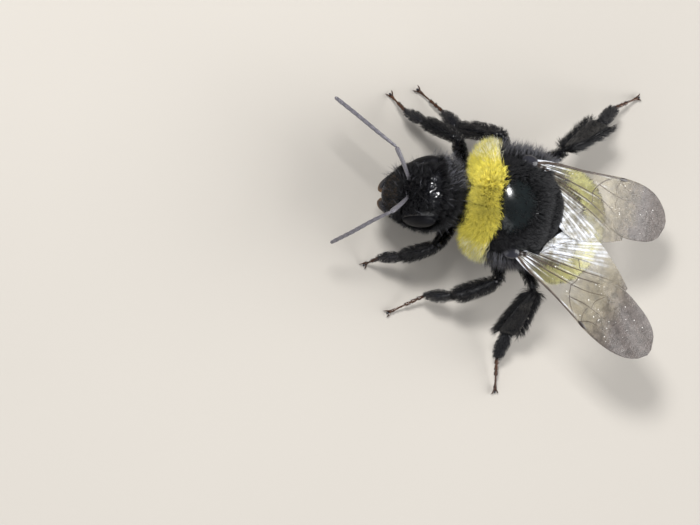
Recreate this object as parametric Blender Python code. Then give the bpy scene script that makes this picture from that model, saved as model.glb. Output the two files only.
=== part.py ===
"""A bumblebee worker at life size, as a still model in 48 solids.

Frame: the head points to -X and the tail to +X, the bee's right side is +Y and +Z is up.
The feet stand on z = 0 and the origin lies under the middle of the whole bee.
Shapes are worked out in millimetres about the middle of the thorax, and are turned
into metres when each mesh is made.  Each solid reaches out to the tips of its hair.
"""
import math

import bmesh
import bpy
from mathutils import Matrix, Vector

MM = 0.001

# Driving dimensions, in millimetres.
THORAX_PLACE = Vector((1.166, 1.48, 5.75))  # middle of the thorax above the floor
GAP = 0.03                                 # clearance left between touching solids

THORAX_FRONT = 3.0          # from the middle of the thorax to the tips of the collar
THORAX_REAR = 2.8
THORAX_WIDTH = 7.1
THORAX_HEIGHT = 5.5
THORAX_LEAN = 0.16          # the rear overhangs the waist by this much for each mm of height
THORAX_TURN = 0.09          # the right shoulder stands this much ahead for each mm of its distance

HEAD_PLACE = Vector((-5.6, -0.36, -0.5))
HEAD_WIDTH = 4.8
HEAD_LENGTH = 4.55          # crown to the edge of the clypeus
HEAD_DEPTH = 2.9
HEAD_BACK = 1.4             # the furry back of the head against the face, in depth
HEAD_PITCH = math.radians(30)   # how far the face is tilted up
HEAD_YAW = math.radians(8)      # how far the face is turned to the bee's right
HEAD_ROLL = math.radians(19)    # how far the mouth swings to the bee's left

EYE_LENGTH = 2.4
EYE_WIDTH = 1.1
EYE_BULGE = 0.55

FEELER_THICK = 0.5
WING_THICK = 0.5
WING_LENGTH = 9.97
FOOT_RADIUS = 0.27
FOOT_LEVEL = 0.21           # height of the last foot joint's middle; its round end is pared flat

ABDOMEN_START = Vector((2.45, -0.58, -1.05))
ABDOMEN_AXIS_LENGTH = 5.15
ABDOMEN_SLOPES = (math.radians(40), math.radians(76))   # droop at the waist and at the tip
ABDOMEN_CUTS = (0.0, 0.14, 0.34, 0.54, 0.71, 0.86, 1.0)  # where the tergites meet, along the axis
WAIST_RADIUS = 0.75
NECK_RADII = (1.0, 1.3)    # at the head and at the thorax

COLOURS = {
    "hair_black": ((0.012, 0.012, 0.013, 1), 0.6),
    "hair_yellow": ((0.62, 0.55, 0.11, 1), 0.6),
    "hair_white": ((0.72, 0.70, 0.62, 1), 0.6),
    "cuticle": ((0.010, 0.010, 0.012, 1), 0.25),
    "eye": ((0.008, 0.008, 0.009, 1), 0.12),
    "feeler": ((0.06, 0.06, 0.065, 1), 0.35),
    "tarsus": ((0.09, 0.035, 0.018, 1), 0.4),
    "wing": ((0.33, 0.31, 0.30, 1), 0.3),
}

X_AXIS = Vector((1, 0, 0))
Y_AXIS = Vector((0, 1, 0))
Z_AXIS = Vector((0, 0, 1))


# ---------------------------------------------------------------- mesh helpers
def material(slot):
    """The Principled material of one finish, made once."""
    found = bpy.data.materials.get(slot)
    if found:
        return found
    colour, roughness = COLOURS[slot]
    made = bpy.data.materials.new(slot)
    made.use_nodes = True
    shader = made.node_tree.nodes["Principled BSDF"]
    shader.inputs["Base Color"].default_value = colour
    shader.inputs["Roughness"].default_value = roughness
    shader.inputs["Metallic"].default_value = 0.0
    made.diffuse_color = colour
    return made


def solid(name, rings, slot):
    """A closed body skinned over a row of rings; its two ends are flat faces."""
    mesh = bpy.data.meshes.new(name)
    work = bmesh.new()
    rows = [[work.verts.new(point) for point in ring] for ring in rings]
    count = len(rows[0])
    for near, far in zip(rows, rows[1:]):
        for i in range(count):
            j = (i + 1) % count
            work.faces.new((near[i], near[j], far[j], far[i]))
    work.faces.new(reversed(rows[0]))
    work.faces.new(rows[-1])
    bmesh.ops.recalc_face_normals(work, faces=work.faces[:])
    bmesh.ops.triangulate(work, faces=work.faces[:])
    work.to_mesh(mesh)
    work.free()
    piece = bpy.data.objects.new(name, mesh)
    bpy.context.collection.objects.link(piece)
    mesh.materials.append(material(slot))
    return piece


def ring_about(middle, across, up, half_width, half_up, half_down, sides, square=2.0):
    """One ring of a body: a superellipse whose top and bottom may differ."""
    ring = []
    for i in range(sides):
        angle = 2 * math.pi * (i + 0.5) / sides
        c, s = math.cos(angle), math.sin(angle)
        reach = (abs(c) ** square + abs(s) ** square) ** (-1 / square)
        rise = half_up if s > 0 else half_down
        ring.append(middle + across * (half_width * reach * c) + up * (rise * reach * s))
    return ring


def round_ends(rows, fullness):
    """Distances along an axis from 0 to 1, and the width there, of a body with round ends."""
    stations = []
    for i in range(rows):
        t = 0.5 - 0.5 * math.cos(math.pi * (i + 0.35) / (rows - 0.3))
        stations.append((t, (1 - abs(2 * t - 1) ** fullness) ** (1 / fullness)))
    return stations


def egg(name, middle, axes, halves, slot, rows=8, sides=12, square=2.0):
    """An ellipsoid or a squarer egg with its poles on the first axis."""
    long_axis, across, up = axes
    rings = []
    for t, width in round_ends(rows, square):
        place = middle + long_axis * (halves[0] * (2 * t - 1))
        rings.append(ring_about(place, across, up, halves[1] * width, halves[2] * width,
                                halves[2] * width, sides, square))
    return solid(name, rings, slot)


def along(points, where):
    """A smooth curve y(x) through a few (x, y) points, read at one place."""
    last = len(points) - 1
    k = 0
    while k < last - 1 and where > points[k + 1][0]:
        k += 1
    (x0, y0), (x1, y1) = points[k], points[k + 1]

    def slope(i):
        before, after = points[max(i - 1, 0)], points[min(i + 1, last)]
        return (after[1] - before[1]) / (after[0] - before[0])

    span = x1 - x0
    t = min(max((where - x0) / span, 0.0), 1.0)
    return ((2 * t ** 3 - 3 * t ** 2 + 1) * y0 + (t ** 3 - 2 * t ** 2 + t) * span * slope(k)
            + (3 * t ** 2 - 2 * t ** 3) * y1 + (t ** 3 - t ** 2) * span * slope(k + 1))


def swollen(piece, by):
    """A hidden copy of a solid, grown by a clearance along its own normals."""
    mesh = piece.data.copy()
    normals = [vertex.normal.copy() for vertex in mesh.vertices]
    for vertex, normal in zip(mesh.vertices, normals):
        vertex.co += normal * by
    cutter = bpy.data.objects.new("cutter_" + piece.name, mesh)
    cutter.hide_render = True
    cutter.display_type = "WIRE"
    bpy.context.collection.objects.link(cutter)
    return cutter


def keep_largest(mesh):
    """Drop the crumbs that a cut may leave beside the main body."""
    work = bmesh.new()
    work.from_mesh(mesh)
    unseen = set(work.verts)
    islands = []
    while unseen:
        island, edge_of_search = set(), [unseen.pop()]
        while edge_of_search:
            vertex = edge_of_search.pop()
            island.add(vertex)
            for edge in vertex.link_edges:
                other = edge.other_vert(vertex)
                if other in unseen:
                    unseen.discard(other)
                    edge_of_search.append(other)
        islands.append(island)
    islands.sort(key=len)
    for crumb in islands[:-1]:
        bmesh.ops.delete(work, geom=list(crumb), context="VERTS")
    work.to_mesh(mesh)
    work.free()


def carve(piece, *neighbours, clearance=GAP):
    """Cut a solid back from its neighbours, so that they meet without touching."""
    cutters = [swollen(neighbour, clearance) for neighbour in neighbours]
    for cutter in cutters:
        step = piece.modifiers.new("fit", "BOOLEAN")
        step.operation = "DIFFERENCE"
        step.solver = "EXACT"
        step.object = cutter
    view = bpy.context.evaluated_depsgraph_get()
    carved = bpy.data.meshes.new_from_object(piece.evaluated_get(view))
    piece.modifiers.clear()
    spare = piece.data
    piece.data = carved
    carved.name = piece.name
    keep_largest(carved)
    bpy.data.meshes.remove(spare)
    for cutter in cutters:
        bpy.data.objects.remove(cutter, do_unlink=True)


# ---------------------------------------------------------------- limb helper
def rod(name, start, end, profile, slot, flat=None, sides=10, head_gap=0.0, bow=0.0):
    """One length of a limb from joint to joint.

    profile lists (distance from 0 to 1, half width, half thickness); flat is the
    direction in which the limb is thin; head_gap leaves room for the joint before it;
    bow lifts the middle of its length.
    """
    line = end - start
    way = line.normalized()
    start = start + way * head_gap
    thin = flat if flat else Z_AXIS
    thin = (thin - way * thin.dot(way)).normalized()
    wide = way.cross(thin)
    length = (end - start).length
    tip_width, tip_thick = profile[-1][1:]
    rings = []
    for t, half_wide, half_thin in profile:
        place = start + way * (length * t) + thin * (bow * math.sin(math.pi * t))
        rings.append(ring_about(place, wide, thin, half_wide, half_thin, half_thin, sides))
    for lift in (30, 60, 80):
        turn = math.radians(lift)
        place = end + way * (tip_thick * math.sin(turn))
        rings.append(ring_about(place, wide, thin, tip_width * math.cos(turn),
                                tip_thick * math.cos(turn), tip_thick * math.cos(turn), sides))
    return solid(name, rings, slot)


# ---------------------------------------------------------------- trunk
def thorax():
    """The furry middle, square in front where the collar stands out, and leaning over the waist."""
    rings = []
    for t, _ in round_ends(15, 2.0):
        along_x = 1 - 2 * t
        front = along_x > 0
        reach = THORAX_FRONT if front else THORAX_REAR
        place = Vector((-along_x * reach, 0, 0))
        half_wide, half_high = (
            size / 2 * (1 - abs(along_x) ** square) ** (1 / square)
            for size, square in ((THORAX_WIDTH, 5.5 if front else 2.0),
                                 (THORAX_HEIGHT, 2.8 if front else 2.0)))
        ring = ring_about(place, Y_AXIS, Z_AXIS, half_wide, half_high, half_high, 20, 2.2)
        ahead = max(along_x, 0.0)
        rings.append([point + X_AXIS * (point.z * THORAX_LEAN * t - point.y * THORAX_TURN * ahead)
                      for point in ring])
    return solid("thorax", rings, "hair_black")


def abdomen_ring(t):
    """The abdomen's outline across its drooping axis, at a share t of the axis."""
    first, last = ABDOMEN_SLOPES
    bend = (last - first) / ABDOMEN_AXIS_LENGTH
    slope = first + (last - first) * t
    place = ABDOMEN_START + Vector(((math.sin(slope) - math.sin(first)) / bend, 0,
                                    (math.cos(slope) - math.cos(first)) / bend))
    up = Vector((math.sin(slope), 0, math.cos(slope)))
    width = along(((0, 1.15), (0.1, 2.35), (0.3, 3.25), (0.5, 3.3), (0.7, 2.8), (0.88, 1.75),
                   (0.97, 0.95), (1, 0.5)), t)
    back = along(((0, 1.0), (0.1, 2.05), (0.3, 2.65), (0.5, 2.6), (0.7, 2.1), (0.88, 1.3),
                  (0.97, 0.75), (1, 0.4)), t)
    belly = along(((0, 0.6), (0.1, 1.1), (0.3, 1.75), (0.5, 1.95), (0.7, 1.7), (0.88, 1.15),
                   (0.97, 0.7), (1, 0.4)), t)
    return ring_about(place, Y_AXIS, up, width, back, belly, 20, 2.1)


def abdomen():
    """Six tergites, parted by thin cuts across the axis."""
    slots = ("hair_black", "hair_yellow", "hair_black", "hair_white", "hair_white", "cuticle")
    share = GAP / ABDOMEN_AXIS_LENGTH
    segments = []
    for number, slot in enumerate(slots):
        start = ABDOMEN_CUTS[number] + share
        end = ABDOMEN_CUTS[number + 1] - share
        steps = 4 if number < 4 else 3
        rings = [abdomen_ring(start + (end - start) * i / steps) for i in range(steps + 1)]
        segments.append(solid("abdomen_%d" % (number + 1), rings, slot))
    return segments


def link(name, start, end, radii, slot):
    """A short round link between two body parts."""
    way = (end - start).normalized()
    wide = way.cross(Z_AXIS).normalized()
    up = wide.cross(way)
    rings = []
    for i in range(5):
        t = i / 4
        radius = radii[0] + (radii[1] - radii[0]) * t
        rings.append(ring_about(start.lerp(end, t), wide, up, radius, radius, radius, 14))
    return solid(name, rings, slot)


# ---------------------------------------------------------------- head
def head_axes():
    """The head's own directions: to the bee's right, out of the face, and up to the crown."""
    turn = (Matrix.Rotation(-HEAD_YAW, 3, "Z") @ Matrix.Rotation(HEAD_PITCH, 3, "Y")
            @ Matrix.Rotation(-HEAD_ROLL, 3, "X"))
    return turn @ Y_AXIS, turn @ -X_AXIS, turn @ Z_AXIS


def on_head(side, forward, up):
    """A point given in the head's own directions, in millimetres."""
    right, face, crown = head_axes()
    return HEAD_PLACE + right * side + face * forward + crown * up


def head_capsule():
    """The head: broad across the eyes, narrowing to the mouth, flat behind."""
    right, face, crown = head_axes()
    rings = []
    for t, _ in round_ends(13, 2.0):
        height = 2 * t - 1
        width = along(((-1, 0.12), (-0.97, 0.3), (-0.7, 0.62), (-0.35, 0.86), (0.1, 1.0),
                       (0.5, 0.93), (0.85, 0.58), (0.97, 0.28), (1, 0.1)), height)
        depth = along(((-1, 0.15), (-0.97, 0.35), (-0.7, 0.68), (-0.35, 0.88), (0.1, 1.0),
                       (0.5, 0.92), (0.85, 0.58), (0.97, 0.28), (1, 0.1)), height)
        place = on_head(0, 0, height * HEAD_LENGTH / 2)
        half_deep = HEAD_DEPTH / 2 * depth
        rings.append(ring_about(place, right, face, HEAD_WIDTH / 2 * width, half_deep,
                                half_deep * HEAD_BACK, 18, 2.2))
    return solid("head", rings, "hair_black")


def eyes(head):
    """A long oval eye let into each side of the head."""
    right, face, crown = head_axes()
    pair = []
    for word, side in (("left", -1), ("right", 1)):
        long_axis = (crown + right * (side * 0.16) + face * 0.05).normalized()
        out = (right * side + face * 0.35).normalized()
        out = (out - long_axis * out.dot(long_axis)).normalized()
        middle = on_head(side * 1.74, 0.22, 0.12)
        pair.append(egg("eye_" + word, middle, (long_axis, long_axis.cross(out), out),
                        (EYE_LENGTH / 2, EYE_WIDTH / 2, EYE_BULGE), "eye", 9, 12))
    carve(head, *pair)
    return pair


# Each feeler: the elbow, then places along the lash to its tip.
FEELERS = {
    "right": (Vector((-7.89, 1.9, 0.14)), (Vector((-9.07, 2.42, 0.3)), Vector((-10.6, 3.2, 0.16)),
                                           Vector((-12.0, 3.92, -0.15)))),
    "left": (Vector((-7.86, -1.73, 1.25)), (Vector((-8.5, -2.37, 0.55)), Vector((-9.2, -3.28, -0.6)),
                                            Vector((-9.74, -4.1, -2.05)))),
}


def smooth_path(points, rows):
    """Places spaced along a smooth curve through a few points."""
    out = []
    last = len(points) - 1
    for i in range(rows):
        place = last * i / (rows - 1)
        k = min(int(place), last - 1)
        t = place - k
        before, a = points[max(k - 1, 0)], points[k]
        b, after = points[k + 1], points[min(k + 2, last)]
        out.append(0.5 * (2 * a + (b - before) * t + (2 * before - 5 * a + 4 * b - after) * t ** 2
                          + (3 * a - before - 3 * b + after) * t ** 3))
    return out


def feelers(head):
    """Two elbowed feelers, each a scape and a lash."""
    half = FEELER_THICK / 2
    for word, side in (("left", -1), ("right", 1)):
        elbow, lash = FEELERS[word]
        socket = on_head(side * 0.5, 1.1, -0.1)
        scape = rod("antenna_scape_" + word, socket, elbow,
                    ((0, half, half), (0.5, half, half), (1, half * 1.05, half * 1.05)),
                    "feeler", sides=8)
        carve(scape, head)
        path = smooth_path([elbow, *lash], 15)
        way = (path[1] - path[0]).normalized()
        path[0] = elbow + way * (half + GAP + 0.02)
        rings = []
        for i, place in enumerate(path):
            way = (path[min(i + 1, 14)] - path[max(i - 1, 0)]).normalized()
            wide = way.cross(Z_AXIS).normalized()
            radius = half * (0.96 if i == 0 else 1.0)
            rings.append(ring_about(place, wide, wide.cross(way), radius, radius, radius, 8))
        for lift in (40, 75):
            turn = math.radians(lift)
            radius = half * math.cos(turn)
            rings.append(ring_about(path[-1] + way * (half * math.sin(turn)), wide,
                                    wide.cross(way), radius, radius, radius, 8))
        solid("antenna_lash_" + word, rings, "feeler")


def mandibles(head):
    """Two jaws that close across each other's inner edges below the clypeus."""
    right, face, crown = head_axes()
    for word, side in (("left", -1), ("right", 1)):
        start = on_head(side * 0.95, 0.15, -1.75)
        end = on_head(side * 0.34, 0.35, -2.62)
        profile = ((0, 0.42, 0.26), (0.4, 0.36, 0.26), (0.8, 0.31, 0.25), (1, 0.26, 0.24))
        jaw = rod("mandible_" + word, start, end, profile, "cuticle", flat=face, sides=10)
        carve(jaw, head)


# ---------------------------------------------------------------- wings
# Outlines of the wings in their own plane: distance out from the root along the line to
# the tip, then the front edge (negative) and the rear edge, in millimetres.
FOREWING_FRONT = ((0.35, -0.38), (1.3, -0.48), (2.6, -0.56), (4.0, -0.77), (5.8, -1.05),
                  (7.4, -1.1), (8.7, -0.86), (9.5, -0.42), (9.95, 0.12))
FOREWING_REAR = ((0.35, 0.48), (1.3, 0.76), (2.6, 1.06), (4.0, 1.45), (5.2, 1.9), (6.4, 2.15),
                 (7.6, 2.0), (8.8, 1.68), (9.55, 1.2), (9.95, 0.5))
HINDWING_REAR = {   # the left one's inner lobe is spread further open
    "left": ((0.9, 1.5), (1.2, 2.35), (1.7, 3.1), (2.5, 3.45), (3.4, 3.45), (4.6, 3.1),
             (5.7, 2.7), (6.5, 2.35)),
    "right": ((0.9, 0.95), (1.2, 1.75), (1.7, 2.6), (2.5, 3.15), (3.4, 3.32), (4.6, 3.05),
              (5.7, 2.7), (6.5, 2.35)),
}
HINDWING_REACH = (0.9, 6.5)
WINGS = {
    # root, tip, the direction from front edge to rear edge, and how far the middle arches up
    "right": (Vector((0.4, 2.5, 1.2)), Vector((9.75, 1.0, -1.5)),
              Vector((-0.139, -0.975, 0.17)), 0.95),
    "left": (Vector((0.3, -2.65, 1.2)), Vector((9.35, -6.89, 0.8)),
             Vector((0.453, 0.891, 0.03)), 0.3),
}


def wing_plate(name, stations, front, rear, frame, arch, columns):
    """An even plate bent to a shallow arch, its outline given by two edge curves."""
    root, out, back, up = frame
    mesh_rings = []
    for u in stations:
        lift = arch * math.sin(math.pi * min(u / WING_LENGTH, 1.0))
        v_front, v_rear = front(u), rear(u)
        top, bottom = [], []
        for i in range(columns + 1):
            v = v_front + (v_rear - v_front) * i / columns
            place = root + out * u + back * v + up * (lift - 0.02 * v * v)
            top.append(place + up * (WING_THICK / 2))
            bottom.append(place - up * (WING_THICK / 2))
        mesh_rings.append(top + bottom[::-1])
    return solid(name, mesh_rings, "wing")


def wings(neighbours):
    """A fore and a hind wing on each side; the hind one carries on behind the fore one."""
    made = []
    for word in ("left", "right"):
        root, tip, back, arch = WINGS[word]
        out = (tip - root).normalized()
        back = (back - out * back.dot(out)).normalized()
        up = out.cross(back)
        up = up if up.z > 0 else -up
        frame = (root, out, back, up)
        start, end = FOREWING_FRONT[0][0], FOREWING_FRONT[-1][0]
        stations = [start + (end - start) * math.sin(math.pi / 2 * i / 15) for i in range(16)]
        fore = wing_plate("forewing_" + word, stations,
                          lambda u: along(FOREWING_FRONT, u), lambda u: along(FOREWING_REAR, u),
                          frame, arch, 4)
        near, far = HINDWING_REACH
        stations = [near + (far - near) * i / 12 for i in range(13)]
        hind = wing_plate("hindwing_" + word, stations,
                          lambda u: along(FOREWING_REAR, u) + GAP,
                          lambda u, edge=HINDWING_REAR[word]: along(edge, u), frame, arch, 3)
        carve(fore, *neighbours, *made)
        carve(hind, *neighbours, *made)
        made += [fore, hind]
    return made


def tegulae(body):
    """The scale that caps each wing root."""
    pair = []
    for word, side in (("left", -1), ("right", 1)):
        middle = Vector((-0.25, side * 2.62, 1.25))
        lean = (Z_AXIS + Y_AXIS * (side * 0.45)).normalized()
        pair.append(egg("tegula_" + word, middle, (X_AXIS, X_AXIS.cross(lean), lean),
                        (0.55, 0.42, 0.3), "cuticle", 7, 10))
    for piece in pair:
        carve(piece, body)
    return pair


def wing_bays(body):
    """Where the hair gives way round each wing root."""
    for side in (-1, 1):
        bay = egg("bay", Vector((0.75, side * 3.5, 1.75)), (X_AXIS, Y_AXIS, Z_AXIS),
                  (1.9, 1.25, 1.15), "cuticle", 9, 14)
        carve(body, bay, clearance=0.0)
        bpy.data.objects.remove(bay, do_unlink=True)


# ---------------------------------------------------------------- legs
# Joints of each leg from the thorax out: the coxa's root, the femur's root, the knee,
# the shin's end, the end of the first foot joint, and the place of the claws on the floor.
LEGS = {
    "front_left": ((-1.7, -1.2, -2.2), (-2.4, -1.5, -2.95), (-3.64, -3.09, -1.4),
                   (-4.86, -4.05, -3.2), (-5.72, -4.4, -4.4), (-6.0, -4.85)),
    "front_right": ((-1.7, 1.2, -2.2), (-2.4, 1.5, -2.95), (-3.7, 3.1, -1.5),
                    (-5.1, 3.6, -3.2), (-5.9, 4.0, -4.4), (-6.5, 4.7)),
    "middle_left": ((0.0, -1.1, -2.3), (0.2, -1.7, -3.05), (0.6, -4.31, -1.6),
                    (-1.25, -5.65, -3.3), (-2.4, -5.98, -4.8), (-3.98, -7.26)),
    "middle_right": ((0.0, 1.1, -2.3), (0.2, 1.7, -3.05), (-1.03, 3.82, -1.5),
                     (-2.69, 3.67, -3.9), (-3.4, 4.4, -5.0), (-4.9, 5.3)),
    "hind_left": ((1.2, -1.2, -2.1), (1.5, -2.0, -2.9), (2.54, -4.41, -1.0),
                  (2.6, -7.15, -3.8), (2.8, -8.6, -5.0), (3.3, -10.4)),
    "hind_right": ((1.2, 1.2, -2.1), (1.5, 2.0, -2.9), (2.6, 3.63, -0.9),
                   (5.32, 5.6, -2.9), (6.6, 6.6, -4.5), (8.32, 7.45)),
}
# Half widths of each leg's parts: femur root, femur middle, shin root, shin end, foot.
LEG_SIZES = {
    "front": (0.30, 0.42, 0.36, 0.46, 0.42),
    "middle": (0.32, 0.46, 0.50, 0.60, 0.48),
    "hind": (0.34, 0.48, 0.32, 0.74, 0.42),
}
# Half thicknesses: shin, first foot joint.
LEG_THICK = {"front": (0.34, 0.33), "middle": (0.42, 0.38), "hind": (0.32, 0.27)}


def foot(name, start, mid, end, half_wide, half_thick, flat, head_gap):
    """The first foot joint and the small ones after it, standing on a small flat."""
    way = (mid - start).normalized()
    start = start + way * head_gap
    path = [start, start.lerp(mid, 0.5), mid, mid.lerp(end, 0.5), end]
    halves = [half_wide * 0.8, half_wide, 0.27, 0.25, FOOT_RADIUS]
    rings = []
    for i, place in enumerate(path):
        way = (path[min(i + 1, 4)] - path[max(i - 1, 0)]).normalized()
        thin = (flat - way * flat.dot(way)).normalized()
        thick = min(halves[i], half_thick if i < 2 else 0.27)
        rings.append(ring_about(place, way.cross(thin), thin, halves[i], thick, thick, 10))
    for lift in (35, 65, 82):
        turn = math.radians(lift)
        radius = FOOT_RADIUS * math.cos(turn)
        rings.append(ring_about(end + way * (FOOT_RADIUS * math.sin(turn)), way.cross(thin),
                                thin, radius, radius, radius, 10))
    piece = solid(name, rings, "tarsus")
    flatten(piece, -THORAX_PLACE.z)
    return piece


def flatten(piece, level):
    """Pare a solid to a flat face at one level."""
    work = bmesh.new()
    work.from_mesh(piece.data)
    everything = work.verts[:] + work.edges[:] + work.faces[:]
    cut = bmesh.ops.bisect_plane(work, geom=everything, dist=1e-5, plane_co=(0, 0, level),
                                 plane_no=(0, 0, -1), clear_outer=True)
    rim = [item for item in cut["geom_cut"] if isinstance(item, bmesh.types.BMEdge)]
    bmesh.ops.contextual_create(work, geom=rim)
    bmesh.ops.recalc_face_normals(work, faces=work.faces[:])
    work.to_mesh(piece.data)
    work.free()


def leg(place, neighbours):
    """Coxa, femur, tibia and foot of one leg."""
    root, hip, knee, shin_end, mid = (Vector(point) for point in LEGS[place][:5])
    end = Vector((*LEGS[place][5], FOOT_LEVEL - THORAX_PLACE.z))
    hip_half, femur_half, knee_half, shin_half, foot_half = LEG_SIZES[place.split("_")[0]]
    shin_thick, foot_thick = LEG_THICK[place.split("_")[0]]
    out = Vector((0, 1 if place.endswith("right") else -1, 0.25))
    coxa = rod("coxa_" + place, root, hip, ((0, 0.6, 0.5), (0.6, 0.5, 0.45), (1, 0.3, 0.3)),
               "hair_black", flat=X_AXIS, sides=8)
    carve(coxa, *neighbours)
    femur = rod("femur_" + place, hip, knee,
                ((0, hip_half, 0.28), (0.25, femur_half, 0.36), (0.6, femur_half * 0.95, 0.34),
                 (1, 0.27, 0.27)), "hair_black", head_gap=0.3 + GAP, sides=10)
    carve(femur, coxa, *neighbours)
    tibia = rod("tibia_" + place, knee, shin_end,
                ((0, knee_half, 0.26), (0.3, knee_half + (shin_half - knee_half) * 0.45,
                                        shin_thick * 0.92), (0.75, shin_half, shin_thick),
                 (1, shin_half * 0.9, shin_thick * 0.85)), "hair_black",
                flat=out, head_gap=0.27 + GAP, sides=10)
    carve(tibia, femur)
    tarsus = foot("tarsus_" + place, shin_end, mid, end, foot_half, foot_thick, out, 0.27 + GAP)
    carve(tarsus, tibia)


# ---------------------------------------------------------------- the bee
def clear_scene():
    for item in list(bpy.data.objects):
        bpy.data.objects.remove(item, do_unlink=True)


def stand_up():
    """Turn millimetres about the thorax into metres about the bee's middle on the floor."""
    holder = bpy.data.objects.new("bumblebee", None)
    holder.location = THORAX_PLACE * MM
    bpy.context.collection.objects.link(holder)
    for piece in bpy.data.objects:
        if piece.type != "MESH":
            continue
        piece.data.transform(Matrix.Scale(MM, 4))
        piece.data.shade_smooth()
        piece.data.set_sharp_from_angle(angle=math.radians(40))
        piece.parent = holder


def build():
    clear_scene()
    body = thorax()
    wing_bays(body)
    scales = tegulae(body)
    segments = abdomen()
    carve(segments[0], body)
    carve(segments[1], body)
    head = head_capsule()
    eyes(head)
    feelers(head)
    mandibles(head)
    neck = link("neck", on_head(0, -0.5, -0.1), Vector((-2.0, 0, -0.35)), NECK_RADII, "cuticle")
    carve(neck, head, body)
    waist = link("waist", Vector((1.6, 0, -1.1)), ABDOMEN_START + Vector((0.4, 0, -0.35)),
                 (WAIST_RADIUS, WAIST_RADIUS), "cuticle")
    carve(waist, body, segments[0], segments[1])
    wings([body, *scales, *segments[:3]])
    for place in LEGS:
        leg(place, [body, waist, neck, *segments[:2]])
    stand_up()


build()
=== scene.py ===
"""Looks of a bumblebee worker, a still life-size model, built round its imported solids.

The bare body is one shell of cuticle, and the coat is solid mesh hair rooted on that shell.
Shapes are worked out in millimetres about the middle of the thorax (-X the head, +Y the bee's
right, +Z up), then moved to where the thorax solid stands.
"""

import bmesh
import bpy
import numpy as np
from numpy import array, concatenate, cos, cross, hypot, linspace, maximum, outer, sin, sqrt, stack
from mathutils import Matrix, Vector
from mathutils.kdtree import KDTree


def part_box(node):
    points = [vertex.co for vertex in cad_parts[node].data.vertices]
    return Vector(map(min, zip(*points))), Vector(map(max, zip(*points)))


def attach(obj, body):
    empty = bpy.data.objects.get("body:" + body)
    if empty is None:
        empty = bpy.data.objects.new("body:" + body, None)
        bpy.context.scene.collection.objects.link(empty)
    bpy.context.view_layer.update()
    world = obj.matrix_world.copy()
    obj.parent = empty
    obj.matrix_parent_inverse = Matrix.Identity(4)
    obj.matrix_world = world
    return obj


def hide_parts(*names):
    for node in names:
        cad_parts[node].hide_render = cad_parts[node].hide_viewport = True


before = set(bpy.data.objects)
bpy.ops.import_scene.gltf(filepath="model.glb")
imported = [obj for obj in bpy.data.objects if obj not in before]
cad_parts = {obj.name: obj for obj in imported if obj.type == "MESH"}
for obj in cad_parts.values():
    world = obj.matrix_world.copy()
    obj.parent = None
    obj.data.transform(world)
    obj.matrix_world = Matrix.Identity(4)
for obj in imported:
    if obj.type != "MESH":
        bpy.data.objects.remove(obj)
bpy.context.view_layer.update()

MM = 0.001
X, Y, Z = np.eye(3)
SIDES = {"left": -1, "right": 1}
CHANCE = np.random.default_rng(11)
SPECK_CHANCE = np.random.default_rng(5)


# ---- arithmetic
def vec(*numbers):
    return array(numbers)


def clamp(value):
    return np.clip(value, 0, 1)


def unit(v):
    return v / maximum(np.linalg.norm(v, axis=-1, keepdims=True), 1e-12)


def square_to(flow, normal):
    """The way nearest to a flow that lies square to another."""
    return unit(flow - normal * np.sum(flow * normal, -1, keepdims=True))


def axes_of(first, last):
    """Three axes square to each other, the last of them as near as it can be to a way."""
    last = square_to(last, first)
    return first, cross(first, last), last


def curve(points, where):
    """A smooth curve y(x) through a few (x, y) points, read at many places."""
    x, y = array(points, float).T
    rise, run = (np.append(a[1:], a[-1]) - np.append(a[0], a[:-1]) for a in (y, x))
    slope = rise / run
    where = np.asarray(where, float)
    k = np.clip(np.searchsorted(x, where, side="right") - 1, 0, len(x) - 2)
    span = x[k + 1] - x[k]
    t = clamp((where - x[k]) / span)
    return ((2 * t ** 3 - 3 * t ** 2 + 1) * y[k] + (t ** 3 - 2 * t ** 2 + t) * span * slope[k]
        + (3 * t ** 2 - 2 * t ** 3) * y[k + 1] + (t ** 3 - t ** 2) * span * slope[k + 1])


def path_through(points, rows):
    """Places along one smooth curve through a few points in space."""
    points = array(points, float)
    gone = np.append(0, np.cumsum(np.linalg.norm(np.diff(points, axis=0), axis=1)))
    where = linspace(0, gone[-1], rows)
    return stack([curve(stack((gone, column), -1), where) for column in points.T], -1)


def bell(distance, width):
    return np.exp(-(distance / width) ** 2)


def within(distance, edge):
    """1 inside a distance of 1, falling to 0 outside over a soft edge."""
    return 0.5 - 0.5 * np.tanh((distance - 1) / edge)


# ---- where things are
THORAX_FRONT = 3.1394  # from the middle of the thorax to the front of its solid
low, high = (array(corner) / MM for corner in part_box("thorax"))
CENTRE = vec(low[0] + THORAX_FRONT, *(low + high)[1:] / 2)
FLOOR = -CENTRE[2]  # the floor, below the middle of the thorax

THORAX_HALF = vec(2.35, 2.5, 2.3)  # the bare thorax
THORAX_LEAN = 0.16
THORAX_TURN = 0.09  # the right shoulder stands this much ahead for each mm

HEAD_PLACE = vec(-5.6, -0.36, -0.5)
HEAD_PITCH, HEAD_YAW, HEAD_ROLL = np.radians((30, 8, 19))
HEAD_HALF = vec(1.88, 1.12, 2.0)  # the bare head: across, to the face, to the crown
HEAD_BACK = 1.05  # depth behind, as a share of the face's
EYE_HALF = (1.16, 0.5, 0.46)
OCELLI = ((0, 1.38), (-0.42, 1.5), (0.42, 1.5))
FEELER_SIDE, FEELER_UP = 0.5, -0.1  # the sockets of the feelers on the face

ABDOMEN_START = vec(2.45, -0.58, -1.05)
ABDOMEN_AXIS_LENGTH = 5.15
ABDOMEN_SLOPES = np.radians((40, 76))
ABDOMEN_CUTS = (0.0, 0.14, 0.34, 0.54, 0.71, 0.86, 1.0)
COAT_DEPTHS = (0.45, 0.55, 0.5, 0.45, 0.4, 0.12)  # of the six tergites

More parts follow.
